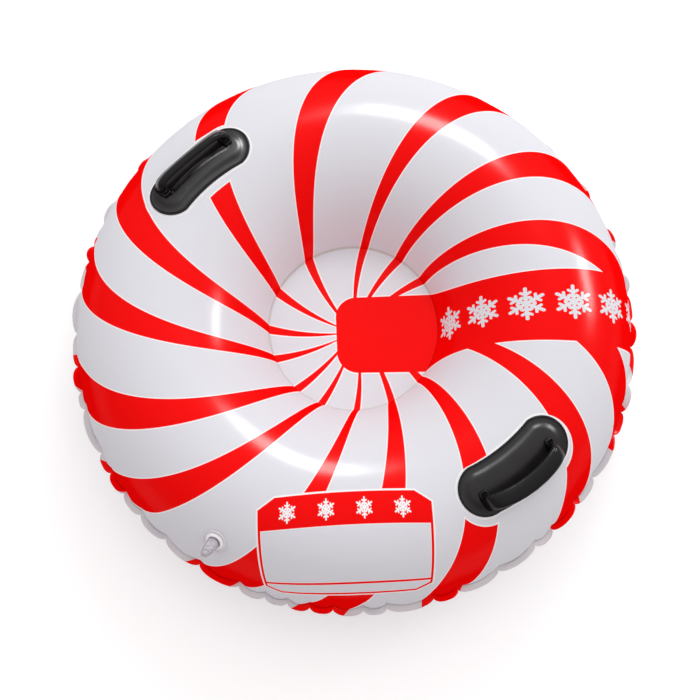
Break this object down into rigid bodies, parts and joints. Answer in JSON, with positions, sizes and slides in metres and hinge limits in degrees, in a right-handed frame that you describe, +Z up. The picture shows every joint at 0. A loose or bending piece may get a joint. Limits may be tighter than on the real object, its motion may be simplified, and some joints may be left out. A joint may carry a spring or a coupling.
{
  "type": "inflatable snow tube",
  "caption": "Round inflated vinyl tube with a floor across its well, a grip each side and a push-in air valve.",
  "frame": {"origin": "on the ground under the middle of the tube", "axes": "+Z up out of the well, +X towards the right grip, +Y the way the rider faces"},
  "size_m": [0.9036, 0.9036, 0.2972],
  "materials": {
    "printed_vinyl": "glossy calendered vinyl, white with red curved stripes and thin white outlines",
    "plain_vinyl": "plain white vinyl, satin gloss",
    "welded_vinyl": "two vinyl sheets fused flat, half clear where the print ends",
    "black_moulding": "glossy black soft moulding",
    "clear_moulding": "clear soft moulding, slightly milky"
  },
  "bodies": {
    "tube": {"top_sheet": "printed_vinyl", "bottom_sheet": "plain_vinyl", "rim_weld": "welded_vinyl", "well_weld": "welded_vinyl", "left_grip_base": "black_moulding", "right_grip_base": "black_moulding", "left_grip": "black_moulding", "right_grip": "black_moulding", "valve_flange": "clear_moulding"},
    "stem": {"valve_stem": "clear_moulding", "plug_strap": "clear_moulding"},
    "plug": {"valve_plug": "clear_moulding"},
    "flap": {"check_flap": "clear_moulding"}
  },
  "joints": [
    {"name": "stem_sink", "type": "slide", "parent": "tube", "child": "stem", "axis": [-0.2048, 0.6915, -0.6928], "range_m": [0, 0.026]},
    {"name": "plug_pull", "type": "slide", "parent": "stem", "child": "plug", "axis": [0.2048, -0.6915, 0.6928], "range_m": [0, 0.014], "deforming": ["plug_strap"]},
    {"name": "flap_swing", "type": "hinge", "parent": "stem", "child": "flap", "pos_m": [0.112, -0.37809, 0.22639], "axis": [0.9588, 0.284, 0], "range_deg": [0, 60], "stiffness_Nm_per_rad": 0.0005}
  ]
}
